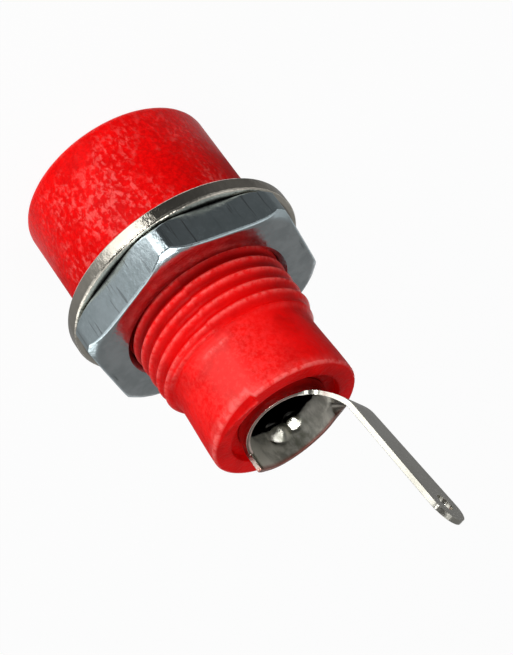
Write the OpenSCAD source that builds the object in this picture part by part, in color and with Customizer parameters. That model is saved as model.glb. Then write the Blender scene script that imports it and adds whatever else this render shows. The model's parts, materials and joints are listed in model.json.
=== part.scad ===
// Red panel-mount banana jack: moulded insulator, rolled contact with a solder tail, washer and nut.
// Millimetres. The jack stands on the front face of its head, with its axis on Z and its
// terminals up. The solder tail lies on the +X side.

/* [Head] */
// Diameter of the round head
head_d = 9.8; // [9.2:0.1:11.4]
// Length of the head, from the front face to the shoulder that meets the panel
head_len = 6.2; // [4:0.1:9]
// Rounding of the front edge
head_edge_r = 0.4; // [0.1:0.05:0.8]
// Rounding of the edge at the shoulder
shoulder_edge_r = 0.15; // [0.05:0.05:0.3]

/* [Shank] */
// Outside diameter of the thread
thread_d = 8; // [7.8:0.1:8.4]
// Pitch of the thread
thread_pitch = 0.7; // [0.5:0.05:1]
// Full turns that the nut can back off on the thread
nut_turns = 4.5; // [2:0.5:5]
// Height over which the thread dies out into the neck
thread_runout = 0.4; // [0.2:0.05:0.8]
// Depth of the thread, which is also the step down to the neck
thread_depth = 0.4; // [0.3:0.05:0.5]
// Length of the shank behind the shoulder
shank_len = 9.45; // [9:0.05:12]
// How far the neck swells towards its rear rim
rear_flare = 0.13; // [0.05:0.01:0.2]
// Rounding of the rear rim
rear_edge_r = 0.15; // [0.05:0.05:0.25]

/* [Socket] */
// Diameter of the plug that the socket takes
plug_d = 4; // [3.9:0.05:4.2]
// Room round the plug inside the contact, on the radius
plug_clearance = 0.05; // [0.02:0.01:0.1]
// Room round the contact's bore at the front mouth, on the radius
mouth_clearance = 0.1; // [0.05:0.01:0.15]
// Bevel that leads the plug into the mouth
mouth_bevel = 0.4; // [0.2:0.05:0.8]
// Length of the lip that the contact stops against
lip_len = 1.2; // [0.9:0.1:2]
// Room between the contact and its seat in the insulator, on the radius
seat_clearance = 0.02; // [0.01:0.01:0.05]
// Gap round the contact at the open rear end
rear_gap = 0.52; // [0.3:0.02:0.6]
// Depth of that open rear end
rear_depth = 3.3; // [1:0.1:5]

/* [Contact] */
// Thickness of the sheet that the contact is rolled from
sheet_t = 0.26; // [0.2:0.02:0.4]
// How far the near half of the rim stands out of the insulator
rim_proud = 0.2; // [0.1:0.01:0.5]
// How much further the far half of the rim stands out at its lowest point
rim_step = 0.48; // [0.3:0.02:1]
// Slant of the cut across the far half of the rim in degrees
rim_slant = 15; // [5:1:25]
// Angle of the rolled seam round the axis, from the tail
seam_angle = 168; // [150:1:190]
// Width of the open seam
seam_gap = 0.15; // [0.1:0.01:0.3]

/* [Solder tail] */
// Width of the tail
tail_w = 2.2; // [1.6:0.1:2.4]
// Reach of the tail behind the insulator
tail_len = 9.1; // [6:0.1:14]
// How far the tail is set outwards from the contact's wall
tail_offset = 0.8; // [0.3:0.05:1]
// Height over which the rolled wall opens out into the flat tail
tongue_rise = 2.2; // [1.8:0.1:3]
// Outward lean of the flat tail in degrees
tail_lean = 4; // [0:0.5:8]
// Rounding where the tail's near side runs into the low rim
root_fillet = 0.55; // [0.3:0.05:0.6]
// Width of the narrow cut that parts the tail from the high rim
tail_relief = 0.06; // [0.04:0.01:0.15]
// Diameter of the eyelet for the wire
eyelet_d = 0.9; // [0.6:0.1:1.3]

/* [Washer] */
// Outside diameter of the washer
washer_d = 12; // [11:0.1:14]
// Thickness of the washer
washer_t = 0.8; // [0.4:0.05:1.2]
// Room round the thread in the washer's hole, on the radius
washer_clearance = 0.2; // [0.1:0.05:0.4]
// Rounding of the washer's edges
washer_edge_r = 0.16; // [0.05:0.01:0.19]

/* [Nut] */
// Width of the nut across its flats
nut_af = 11; // [10:0.1:13]
// Thickness of the nut
nut_t = 1.9; // [1.4:0.05:3]
// Diameter of the nut's flat faces, inside its rolled corners
nut_face_d = 10.9; // [10:0.1:11.5]
// Radius on which the corners roll off towards each face
nut_roll_r = 0.95; // [0.8:0.05:1.2]
// How much of each sharp corner is taken off, on the radius
nut_corner_trim = 0.15; // [0.02:0.01:0.2]
// Angle at which a corner of the nut stands at rest, from the tail
nut_angle = 15; // [0:1:59]
// Running room between the nut and the thread, on the radius
thread_clearance = 0.05; // [0.03:0.01:0.1]
// Countersink at each end of the nut's hole
nut_countersink = 0.15; // [0.05:0.05:0.3]

/* [Hidden] */
$fn = 96;

red = "red";
nickel = "silver";
zinc = "lightsteelblue";

// A little extra that lets one solid run cleanly into or through another
bite = 0.2;

// Heights along the axis, from the front face
shoulder_z = head_len;
washer_z = shoulder_z;
nut_z = washer_z + washer_t;
nut_top_z = nut_z + nut_t;
nut_travel = nut_turns * thread_pitch;
thread_end_z = nut_top_z + nut_travel;
rear_z = shoulder_z + shank_len;
rim_low_z = rear_z + rim_proud;
rim_high_z = rim_low_z + rim_step;
tip_z = rear_z + tail_len;

// Radii round the axis
head_r = head_d / 2;
thread_r = thread_d / 2;
neck_r = thread_r - thread_depth;
rear_r = neck_r + rear_flare;
contact_in_r = plug_d / 2 + plug_clearance;
contact_out_r = contact_in_r + sheet_t;
wall_mid_r = contact_in_r + sheet_t / 2;
mouth_r = contact_in_r + mouth_clearance;
seat_r = contact_out_r + seat_clearance;
rear_bore_r = contact_out_r + rear_gap;
nut_bore_r = thread_r + thread_clearance;
washer_hole_r = thread_r + washer_clearance;

// Highest point that the slanted rim can reach
rim_top_z = rim_high_z + 2 * contact_out_r * tan(rim_slant);

// The tongue opens out of the rim into the flat tail
tongue_z0 = rim_low_z - bite;
tongue_z1 = tongue_z0 + tongue_rise;
tail_half = tail_w / 2;
root_half = tail_half + root_fillet;
tongue_half = root_half + 2 * bite;
tongue_rows = 14;
tongue_cols = 12;
// The sheet thins a little where it is formed, and more at the root inside the rolled wall
formed_t = 0.8 * sheet_t;
root_t = 0.7 * sheet_t;
root_share = bite / tongue_rise;
rim_end_angle = asin((tail_half + tail_relief) / contact_in_r);
// Length of the flat tail from the tongue to the middle of its eyelet
plate_len = (tip_z - tongue_z1) / cos(tail_lean) - tail_half;

// A full-round edge on the outer side of a turned profile
module edge_round(r, z, edge, up) {
  difference() {
    translate([r - edge, up ? z - edge : z])
      square([edge + bite, edge]);
    translate([r - edge, up ? z - edge : z + edge])
      circle(edge);
  }
}

// Half section of the moulded insulator, radius across and axis up
module insulator_section() {
  difference() {
    union() {
      square([head_r, head_len]);
      square([thread_r, thread_end_z - thread_runout]);
      polygon([
        [0, thread_end_z - thread_runout],
        [thread_r, thread_end_z - thread_runout],
        [neck_r, thread_end_z],
        [rear_r, rear_z],
        [0, rear_z]
      ]);
    }
    edge_round(head_r, 0, head_edge_r, false);
    edge_round(head_r, shoulder_z, shoulder_edge_r, true);
    edge_round(rear_r, rear_z, rear_edge_r, true);
    insulator_bore_section();
  }
}

// Bevelled mouth, lip, contact seat and open rear end of the insulator
module insulator_bore_section() {
  translate([0, -bite])
    square([mouth_r, lip_len + 2 * bite]);
  polygon([
    [0, 0],
    [mouth_r + mouth_bevel, 0],
    [mouth_r, mouth_bevel],
    [0, mouth_bevel]
  ]);
  translate([0, lip_len])
    square([seat_r, rear_z]);
  translate([0, rear_z - rear_depth])
    square([rear_bore_r, rear_depth + bite]);
}

module insulator_body() {
  color(red)
    rotate_extrude()
      insulator_section();
}

// All that lies above the low rim, from the tail's far side round to the seam
module above_near_rim() {
  gap_angle = asin(seam_gap / 2 / contact_out_r);
  rotate([0, 0, -rim_end_angle])
    rotate_extrude(angle = rim_end_angle + seam_angle - gap_angle)
      translate([0, rim_low_z])
        square([contact_out_r + bite, rim_top_z]);
}

// All that lies above the slanted cut across the far half of the rim
module above_far_rim() {
  reach = 2 * contact_out_r;
  translate([0, -contact_out_r, rim_high_z])
    rotate([rim_slant, 0, 0])
      translate([-reach, -reach, 0])
        cube([2 * reach, 3 * reach, reach]);
}

// The rolled sleeve: its rim is high on the far half and its seam stays open
module sleeve() {
  difference() {
    translate([0, 0, lip_len])
      cylinder(h = rim_top_z - lip_len, r = contact_out_r);
    translate([0, 0, lip_len - bite])
      cylinder(h = rim_top_z, r = contact_in_r);
    above_near_rim();
    above_far_rim();
    rotate([0, 0, seam_angle])
      translate([0, -seam_gap, lip_len - bite])
        cube([contact_out_r + bite, seam_gap, rim_top_z]);
  }
}

// Share of the way from rolled wall to flat tail, eased at both ends
function eased(s) = s * s * (3 - 2 * s);

// Distance of the tongue's middle line from the axis, part of the way up
function tongue_r(s) =
  wall_mid_r + tail_offset * eased(s)
  + tan(tail_lean) * tongue_rise * s * s * (s - 1);

// Outward lean of the tongue's middle line, part of the way up
function tongue_lean(s) =
  atan((6 * tail_offset * s * (1 - s)) / tongue_rise
  + tan(tail_lean) * s * (3 * s - 2));

// How tightly the tongue is still rolled, as one over its radius
function tongue_bow(s) = max((1 - eased(s)) / wall_mid_r, 0.001);

// A point of the tongue's sheet: row share, distance across and side of the sheet
function sheet_point(s, across, side) =
  let (
    bow = tongue_bow(s),
    turn = bow * across * 180 / PI,
    lean = tongue_lean(s),
    half = side * (s <= root_share ? root_t : formed_t) / 2
  )
  [
    tongue_r(s) - (1 - cos(turn)) / bow + half * cos(lean) * cos(turn),
    sin(turn) / bow + half * cos(lean) * sin(turn),
    tongue_z0 + s * tongue_rise - half * sin(lean)
  ];

// A point of the tongue's upper end, which runs into the flat tail
function tongue_end_point(across, side) =
  [
    tongue_r(1) + bite * sin(tail_lean) + side * formed_t / 2 * cos(tail_lean),
    across,
    tongue_z1 + bite * cos(tail_lean) - side * formed_t / 2 * sin(tail_lean)
  ];

// The sheet of the tongue before its outline is cut
module tongue_sheet() {
  across = [for (j = [0 : tongue_cols]) tongue_half * (2 * j / tongue_cols - 1)];
  rows = tongue_rows + 1;
  cols = tongue_cols + 1;
  function layer(side) = [
    for (i = [0 : tongue_rows]) for (w = across) sheet_point(i / tongue_rows, w, side),
    for (w = across) tongue_end_point(w, side)
  ];
  outer = layer(1);
  inner = layer(-1);
  n = len(outer);
  function at(i, j) = i * cols + j;
  outside = [
    for (i = [0 : rows - 1]) for (j = [0 : cols - 2])
      each [[at(i, j), at(i + 1, j), at(i + 1, j + 1)], [at(i, j), at(i + 1, j + 1), at(i, j + 1)]]
  ];
  inside = [for (f = outside) [n + f[0], n + f[2], n + f[1]]];
  function wall(a, b) = [[a, b, n + b], [a, n + b, n + a]];
  sides = [
    for (i = [0 : rows - 1]) each wall(at(i + 1, 0), at(i, 0)),
    for (i = [0 : rows - 1]) each wall(at(i, cols - 1), at(i + 1, cols - 1)),
    for (j = [0 : cols - 2]) each wall(at(0, j), at(0, j + 1)),
    for (j = [0 : cols - 2]) each wall(at(rows, j + 1), at(rows, j))
  ];
  polyhedron(points = concat(outer, inner), faces = concat(outside, inside, sides));
}

// Blanked outline of the tongue seen from outside, with a filleted root on its near side
module tongue_outline() {
  translate([-tail_half, tongue_z0 - bite])
    square([tail_w, tongue_rise + 3 * bite]);
  translate([-tail_half, tongue_z0 - bite])
    square([tail_w + root_fillet, rim_low_z - tongue_z0 + bite]);
  difference() {
    translate([tail_half, rim_low_z])
      square([root_fillet, root_fillet]);
    translate([root_half, rim_low_z + root_fillet])
      circle(root_fillet);
  }
}

// The wall of the sleeve carried on upwards, opening out until it is flat
module tongue() {
  intersection() {
    tongue_sheet();
    rotate([90, 0, 90])
      linear_extrude(height = tongue_r(1) + tail_half)
        tongue_outline();
  }
}

// The flat end of the contact, with a round tip and an eyelet for the wire
module tail_plate() {
  translate([tongue_r(1), 0, tongue_z1])
    rotate([0, tail_lean, 0])
      rotate([90, 0, 90])
        translate([0, 0, -sheet_t / 2])
          linear_extrude(height = sheet_t)
            difference() {
              union() {
                translate([-tail_half, 0])
                  square([tail_w, plate_len]);
                translate([0, plate_len])
                  circle(tail_half);
              }
              translate([0, plate_len])
                circle(d = eyelet_d);
            }
}

module contact() {
  color(nickel)
    union() {
      sleeve();
      tongue();
      tail_plate();
    }
}

module washer() {
  ring_w = washer_d / 2 - washer_hole_r;
  color(nickel)
    translate([0, 0, washer_z])
      rotate_extrude()
        translate([washer_hole_r, 0])
          rounded_bar(ring_w, washer_t, washer_edge_r);
}

// A rectangle with four round corners
module rounded_bar(w, h, r) {
  translate([r, 0])
    square([w - 2 * r, h]);
  translate([0, r])
    square([w, h - 2 * r]);
  for (x = [r, w - r])
    for (y = [r, h - r])
      translate([x, y])
        circle(r);
}

// Half section that rolls off and trims the corners and leaves the countersunk hole
module nut_section() {
  corner_r = nut_af / 2 / cos(30) - nut_corner_trim;
  roll_out_r = nut_face_d / 2 + nut_roll_r;
  difference() {
    polygon([
      [nut_bore_r + nut_countersink, 0],
      [corner_r, 0],
      [corner_r, nut_t],
      [nut_bore_r + nut_countersink, nut_t],
      [nut_bore_r, nut_t - nut_countersink],
      [nut_bore_r, nut_countersink]
    ]);
    edge_round(roll_out_r, 0, nut_roll_r, false);
    edge_round(roll_out_r, nut_t, nut_roll_r, true);
  }
}

module hex_nut() {
  color(zinc)
    translate([0, 0, nut_z])
      rotate([0, 0, nut_angle])
        intersection() {
          cylinder(h = nut_t, r = nut_af / 2 / cos(30), $fn = 6);
          rotate_extrude()
            nut_section();
        }
}

insulator_body();
contact();
washer();
hex_nut();
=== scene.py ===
"""The looks of a red panel-mount banana jack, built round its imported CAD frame.

Every piece is modelled in millimetres and turned into a mesh in metres by MM.
"""

import json
import math

import bpy
from mathutils import Matrix, Vector

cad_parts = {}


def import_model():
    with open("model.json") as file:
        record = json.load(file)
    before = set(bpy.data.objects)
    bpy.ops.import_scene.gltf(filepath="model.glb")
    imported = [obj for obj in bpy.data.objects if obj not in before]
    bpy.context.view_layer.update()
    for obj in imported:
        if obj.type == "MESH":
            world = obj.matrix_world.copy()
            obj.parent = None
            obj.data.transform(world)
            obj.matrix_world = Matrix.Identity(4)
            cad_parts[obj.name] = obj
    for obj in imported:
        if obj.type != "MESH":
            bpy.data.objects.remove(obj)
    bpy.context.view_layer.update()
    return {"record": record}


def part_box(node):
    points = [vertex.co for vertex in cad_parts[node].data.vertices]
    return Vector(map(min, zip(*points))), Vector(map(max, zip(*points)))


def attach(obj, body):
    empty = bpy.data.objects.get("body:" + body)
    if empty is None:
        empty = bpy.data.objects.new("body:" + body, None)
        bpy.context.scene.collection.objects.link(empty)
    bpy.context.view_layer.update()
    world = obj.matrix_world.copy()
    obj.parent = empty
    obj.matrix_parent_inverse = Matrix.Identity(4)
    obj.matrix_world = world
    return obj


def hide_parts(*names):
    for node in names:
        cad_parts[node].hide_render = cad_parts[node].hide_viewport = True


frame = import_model()

MM = 0.001
TAU = 2 * math.pi

# Sizes that the frame holds, in millimetres.


def node_span(node):
    """Radius, lowest and highest point of a turned CAD node."""
    low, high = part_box(node)
    return high.y / MM, low.z / MM, high.z / MM


MOUNTS = {mount["name"]: mount for mount in frame["record"]["mounts"]}
HEAD_R, FRONT_Z, REAR_Z = node_span("insulator_body")
WASHER_R, WASHER_Z0, WASHER_Z1 = node_span("washer")
NUT_Z0, NUT_Z1 = node_span("hex_nut")[1:]
SLEEVE_Z0, TIP_Z = node_span("contact")[1:]
SOCKET_R = MOUNTS["plug_socket"]["dims"]["r_mm"]
EYELET_R = MOUNTS["solder_eyelet"]["dims"]["r_mm"]
EYELET = [value / MM for value in MOUNTS["solder_eyelet"]["pos_m"]]
THREAD_R = MOUNTS["panel_seat"]["dims"]["r_mm"]
THREAD_END_Z = NUT_Z1 + MOUNTS["panel_seat"]["dims"]["length_mm"]
SHOULDER_Z = WASHER_Z0

# Moulded insulator.
HEAD_EDGE_R = 0.42
SHOULDER_EDGE_R = 0.12
MOUTH_R = 2.15
MOUTH_BEVEL = 0.4
REAR_BORE_R = 2.83
REAR_BORE_DEPTH = 0.42
NECK_R = 3.6
REAR_R = 3.73
REAR_EDGE_R = 0.15
BORE_EDGE_R = 0.06
SOFT_EDGE_R = 0.05

# Thread of the insulator: right-handed, with soft crests and wide roots.
PITCH = 0.7
ROOT_R = 3.78
CREST_Z = 9.288
CREST_SHARPNESS = 1.5
# Pale wear on the crests, which also paints their highlight.
CREST_WEAR_AND_HIGHLIGHT = 0.85
THREAD_START = 0.35
FADE_LENGTH = 0.5
PARTING_AZIMUTH = math.radians(79)
PARTING_SHIFT = 0.05
FLASH_HEIGHT = 0.025
FLASH_WIDTH = 0.05
FLASH_ON_THREAD = 0.4
FLASH_ON_HEAD = 0.3
# Painted shade in the valleys is darkest behind the nut, where the nut's shadow falls, and fades over this
# stretch.
VALLEY_SHARPNESS = 1.3
VALLEY_LEAST = 0.35
VALLEY_FADE = (0.2, 2.4)
# Low ridges where the thread runs out beside the parting line: place on the axis, first and last azimuth,
# height, width, and pale wear that also paints their highlight. A ridge rises over a short start and dies
# away over the last share of its length. A groove runs before it, some widths of the ridge away and a share
# of its height deep.
RUN_OUTS = (
    (THREAD_END_Z - 0.16, math.radians(76), math.radians(150), 0.10, 0.06, 0.6),
    (THREAD_END_Z + 0.45, math.radians(74), math.radians(103), 0.04, 0.11, 1.0),
)
RUN_OUT_START = math.radians(3)
RUN_OUT_FADE = 0.4
GROOVE_PLACE = 2.5
GROOVE_DEPTH = 0.4
# A chip at the rear rim starts beside the parting line and runs out round the rim. It has a burr along its
# edge, and the neck before it is scuffed and drawn down with it.
CHIP_AZIMUTH = math.radians(83)
CHIP_START = math.radians(1.5)
CHIP_SPAN = math.radians(75)
CHIP_WIDTH = 0.6
CHIP_SLOPE = 0.5
CHIP_PULL = 1.4
BURR_HEIGHT = 0.04
BURR_WIDTH = 0.05
NECK_SCUFF_LENGTH = 0.65
NECK_SCUFF_LEAST = 0.3
# Pale wear with a painted highlight at the rear rim's edge and at the head's front edge.
RIM_WEAR_AND_HIGHLIGHT_START = 0.03
HEAD_WEAR_AND_HIGHLIGHT = 0.5
# Lengths of the steps that the moulding's outline is cut into, and the number of its columns.
THREAD_STEP = 0.045
NECK_STEP = 0.16
RIM_STEP = 0.05
PLAIN_STEP = 0.45
INSULATOR_COLUMNS = 288
# Margins that tell the stretches of the outline apart: the rim, the land inside it, the side of the head and
# the inside. Heights are compared with an allowance for rounding.
RIM_DEPTH = 0.01
RIM_LAND = 0.3
HEAD_SIDE = 0.25
INSIDE_MARGIN = 0.02
ROUNDING = 1e-6
HEAD_FLASH_START, HEAD_FLASH_FULL = 0.2, 0.6
SHANK_Z0 = SHOULDER_Z + THREAD_START / 2
SHANK_Z1 = REAR_Z - REAR_EDGE_R

# Rolled contact, one sheet. Its rim is cut low on the near side and on a slant on the far side.
OPEN_DEPTH = 3.3
SHEET = 0.2
TAIL_SHEET = 0.26
SHEET_EDGE_R = 0.06
WALL_R = SOCKET_R + SHEET / 2
SEAT_GAP = 0.01
SEAT_R = SOCKET_R + SHEET + SEAT_GAP
RIM_NEAR_Z = REAR_Z + 0.25
RIM_NEAR_DIP = 0.17
RIM_NEAR_RISE = 0.2
RIM_FAR_Z = REAR_Z + 0.74
RIM_FAR_SLOPE = 0.20
SEAM_START = math.radians(168)
SEAM_END = math.radians(524)
SEAM_LIFT = 0.14
SEAM_FLAT = math.radians(32)
# Two small dents in the far wall: azimuth, height, radius, slopes of the flat round and up it, and gloss.
DENTS = (
    (math.radians(234), 15.12, 0.48, 0.44, 0.40, 0.75),
    (math.radians(259), 15.04, 0.38, 0.09, 0.37, 1.0),
)
# Shares of a dent's radius: where its flat ends, where its edge ends, and where its flat meets the wall.
DENT_FLAT = 0.65
DENT_EDGE = 1.45
DENT_HINGE = 0.7
# Inside the far wall: painted shade darkens it round one azimuth, it is lighter beside that, and a painted
# reflection makes it lightest in a strip at the seam. The cuts of the rims are bare, and painted shade
# darkens the seam.
WALL_DARK_AZIMUTH = math.radians(250)
WALL_DARK_HALF = math.radians(8)
WALL_LIGHT_HALF = math.radians(50)
SEAM_STRIP = math.radians(30)
SEAM_STRIP_EDGE = math.radians(3)
SEAM_STRIP_TONE = 0.8
# Painted shade on the seam's end.
SEAM_SHADE = 0.35
NEAR_BARE = 0.45
FAR_BARE_START = 0.7
# Tail: it opens out of the wall over its tongue, then leans and twists a little.
TAIL_HALF = 1.1
TAIL_OFFSET = 0.88
TAIL_LEAN = math.radians(4.8)
TAIL_TWIST = 0.0097
TONGUE_RISE = 1.95
OPENING_SOFTNESS = 0.05
OPENING_EASED = 0.45
FLATTENING = 4.5
LEAST_BOW = 1e-6
ROOT_FILLET = 0.55
TIP_BLOCK = 1.35
DRAWN_SPAN = math.radians(32)
# Where the tongue leaves the wall, and how far the eyelet and the tip's first row are above the near rim.
TONGUE_START = TAU - TAIL_HALF / WALL_R
TONGUE_END = TAU + (TAIL_HALF + ROOT_FILLET) / WALL_R
EYELET_RISE = EYELET[2] - RIM_NEAR_Z
BLOCK_RISE = EYELET_RISE - TIP_BLOCK
# Columns and rows of the sheet's mesh, and the steps and rings of its tip.
FAR_COLUMNS, TONGUE_COLUMNS, NEAR_COLUMNS = 80, 28, 44
DEEP_ROWS, SEEN_ROWS, FAR_ROWS, TONGUE_ROWS, TAIL_ROWS = 10, 60, 8, 22, 8
SIDE_STEPS, TIP_STEPS, TIP_RINGS = 8, 36, 5

# Hex nut and washer.
NUT_AF = 11.0
NUT_AZIMUTH = math.radians(45)
NUT_BORE_R = 4.05
NUT_COUNTERSINK = 0.22
NUT_CORNER_R = 6.2
NUT_ROLL_START = 5.45
NUT_ROLL_R = 0.95
NUT_ROLL_LEAD = 0.15
NUT_EDGE_R = 0.15
NUT_EDGE_REACH = 1.5
NUT_CORNER_BLEND = 0.03
NUT_SIDES = 6
NUT_FLAT_HALF = math.radians(25)
WASHER_HOLE_R = 4.2
WASHER_EDGE_R = 0.16
WASHER_HOLE_EDGE_R = 0.08


# Mesh helpers.


def smoothstep(low, high, x):
    share = min(max((x - low) / (high - low), 0.0), 1.0)
    return share * share * (3 - 2 * share)


def arc_points(before, corner, after, radius, steps=5):
    """Points of the round that replaces a corner of a polyline."""
    to_before = (Vector(before) - Vector(corner)).normalized()
    to_after = (Vector(after) - Vector(corner)).normalized()
    half = to_before.angle(to_after) / 2
    reach = radius / math.tan(half)
    centre = Vector(corner) + (to_before + to_after).normalized() * radius / math.sin(half)
    start = Vector(corner) + to_before * reach - centre
    end = Vector(corner) + to_after * reach - centre
    sweep = start.angle(end)
    points = []
    for step in range(steps + 1):
        turn = sweep * step / steps
        spoke = (start * math.sin(sweep - turn) + end * math.sin(turn)) / math.sin(sweep)
        points.append(tuple(centre + spoke))
    return points


def rounded(corners):
    """A closed profile from corners (radius, height, rounding)."""
    profile = []
    for index, (r, z, rounding) in enumerate(corners):
        before = corners[index - 1][:2]
        after = corners[(index + 1) % len(corners)][:2]
        if rounding:
            profile += arc_points(before, (r, z), after, rounding)
        else:
            profile.append((r, z))
    return profile


def subdivided(profile, step_at):
    """The closed profile with its long runs cut into steps; step_at gives the step at a point."""
    fine = []
    for index, (r0, z0) in enumerate(profile):
        r1, z1 = profile[(index + 1) % len(profile)]
        length = math.hypot(r1 - r0, z1 - z0)
        count = max(1, round(length / step_at((r0 + r1) / 2, (z0 + z1) / 2)))
        for step in range(count):
            share = step / count
            fine.append((r0 + (r1 - r0) * share, z0 + (z1 - z0) * share))
    return fine


def new_piece(name, points, faces, crease_deg=35):
    """A mesh object from points in millimetres, smooth but for its creases."""
    mesh = bpy.data.meshes.new(name)
    mesh.from_pydata([Vector(point) * MM for point in points], [], faces)
    mesh.update()
    mesh.shade_smooth()
    mesh.set_sharp_from_angle(angle=math.radians(crease_deg))
    piece = bpy.data.objects.new(name, mesh)
    bpy.context.scene.collection.objects.link(piece)
    return piece


def ring_faces(columns, rows):
    """Faces of a closed ring: each column is a closed section of so many rows."""
    faces = []
    for i in range(columns):
        j = (i + 1) % columns
        for k in range(rows):
            m = (k + 1) % rows
            faces.append((i * rows + k, j * rows + k, j * rows + m, i * rows + m))
    return faces


def turned(name, sections, azimuths, crease_deg=35):
    """A ring whose closed section may change from one azimuth to the next."""
    points = []
    for azimuth, section in zip(azimuths, sections):
        for r, z in section:
            points.append((r * math.cos(azimuth), r * math.sin(azimuth), z))
    return new_piece(name, points, ring_faces(len(azimuths), len(sections[0])), crease_deg)


def mark(piece, name, values):
    """Stores one number per vertex for the material to read."""
    attribute = piece.data.attributes.new(name, "FLOAT", "POINT")
    attribute.data.foreach_set("value", values)


def weigh_open_edges(piece):
    """Weighs the open edges of a sheet, so that they can be rounded."""
    uses = {}
    for face in piece.data.polygons:
        for key in face.edge_keys:
            uses[key] = uses.get(key, 0) + 1
    weights = piece.data.attributes.new("bevel_weight_edge", "FLOAT", "EDGE")
    for edge in piece.data.edges:
        weights.data[edge.index].value = float(uses[edge.key] == 1)


# Insulator body.


def around(azimuth, centre):
    """Signed angle from a centre azimuth, within half a turn."""
    return (azimuth - centre + math.pi) % TAU - math.pi


def thread_phase(azimuth, z):
    """Turns past the nearest crest, from -0.5 to 0.5. One mould half sits a little lower."""
    upper_half = 0 < around(azimuth, PARTING_AZIMUTH)
    shift = PARTING_SHIFT / 2 if upper_half else -PARTING_SHIFT / 2
    turns = (z - shift - CREST_Z) / PITCH - azimuth / TAU
    return turns - round(turns)


def crest_height(azimuth, z):
    """How far up its crest the thread is, from 0 to 1."""
    wave = 0.5 + 0.5 * math.cos(TAU * thread_phase(azimuth, z))
    start = smoothstep(SHOULDER_Z + THREAD_START / 2, SHOULDER_Z + 2 * THREAD_START, z)
    return wave ** CREST_SHARPNESS * start


def envelope(z):
    """Largest radius of the shank: full over the thread, then a cone down to the neck."""
    fade = smoothstep(THREAD_END_Z - FADE_LENGTH, THREAD_END_Z + FADE_LENGTH / 2, z)
    neck = NECK_R + (REAR_R - NECK_R) * smoothstep(THREAD_END_Z, REAR_Z - REAR_EDGE_R, z)
    return THREAD_R + (neck - THREAD_R) * fade, neck, fade


def flash(azimuth, r):
    """Height of the parting flash at this azimuth."""
    nearest = min(abs(around(azimuth, PARTING_AZIMUTH)), abs(around(azimuth, PARTING_AZIMUTH + math.pi)))
    return FLASH_HEIGHT * math.exp(-((nearest * r / FLASH_WIDTH) ** 2))


def run_out(azimuth, z):
    """How far the low ridges at the end of the thread stand out here, and their pale wear and painted
    highlight, from 0 to 1.
    """
    lift, wear = 0.0, 0.0
    for middle, first, last, height, width, rubbed in RUN_OUTS:
        ends = smoothstep(first, first + RUN_OUT_START, azimuth)
        ends *= 1 - smoothstep(last - (last - first) * RUN_OUT_FADE, last, azimuth)
        past = (z - middle) / width
        ridge = ends * math.exp(-past ** 2)
        groove = ends * math.exp(-(past + GROOVE_PLACE) ** 2)
        lift += height * (ridge - GROOVE_DEPTH * groove)
        wear = max(wear, rubbed * ridge)
    return lift, wear


def chip_share(azimuth):
    """How much of the chip's full width there is at this azimuth."""
    past = around(azimuth, CHIP_AZIMUTH)
    return smoothstep(0, CHIP_START, past) * (1 - smoothstep(0, CHIP_SPAN, past))


def rim_point(azimuth, r, z):
    """A point of the rear rim, lowered where the rim is chipped, and its pale wear and painted highlight,
    from 0 to 1.
    """
    share = chip_share(azimuth)
    inner_r = REAR_R - CHIP_WIDTH * share
    wear = 1 - smoothstep(RIM_WEAR_AND_HIGHLIGHT_START, REAR_EDGE_R, REAR_R - r)
    burr = share ** 4 * math.exp(-((r - inner_r) / BURR_WIDTH) ** 2)
    z += BURR_HEIGHT * burr - CHIP_SLOPE * max(r - inner_r, 0.0)
    return r, z, max(wear, burr)


def shank_radius(azimuth, z):
    """Radius of the shank and the neck behind it, with its pale wear and painted highlight, and the painted
    shade of its valley, each from 0 to 1.
    """
    top, neck, fade = envelope(z)
    height = crest_height(azimuth, z)
    r = ROOT_R + (THREAD_R - ROOT_R) * height
    r = r + (neck - ROOT_R) * fade * (1 - height)
    r = min(r, top)
    # Pale wear with a painted highlight on the crests.
    wear = CREST_WEAR_AND_HIGHLIGHT * height ** 3 * (1 - fade)
    # Painted shade in the valleys, darkest behind the nut where its shadow falls.
    near_nut = smoothstep(NUT_Z1 + VALLEY_FADE[1], NUT_Z1 + VALLEY_FADE[0], z)
    valley = (1 - height) ** VALLEY_SHARPNESS * (1 - fade) * (VALLEY_LEAST + (1 - VALLEY_LEAST) * near_nut)
    scuffed = smoothstep(REAR_Z - NECK_SCUFF_LENGTH, REAR_Z - REAR_EDGE_R, z)
    scuffed *= NECK_SCUFF_LEAST + (1 - NECK_SCUFF_LEAST) * chip_share(azimuth)
    lift, rubbed = run_out(azimuth, z)
    seam = flash(azimuth, r) * (FLASH_ON_THREAD + (1 - FLASH_ON_THREAD) * fade)
    return r + lift + seam, max(wear, scuffed, rubbed), valley


def on_shank(r, z):
    return r > (ROOT_R + REAR_BORE_R) / 2 and SHANK_Z0 - ROUNDING <= z < SHANK_Z1


def outline_step(r, z):
    """Length of the steps that the outline is cut into at a point."""
    if on_shank(r, z):
        return THREAD_STEP if z < THREAD_END_Z + FADE_LENGTH else NECK_STEP
    if z > REAR_Z - RIM_DEPTH:
        return RIM_STEP
    return PLAIN_STEP


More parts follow.
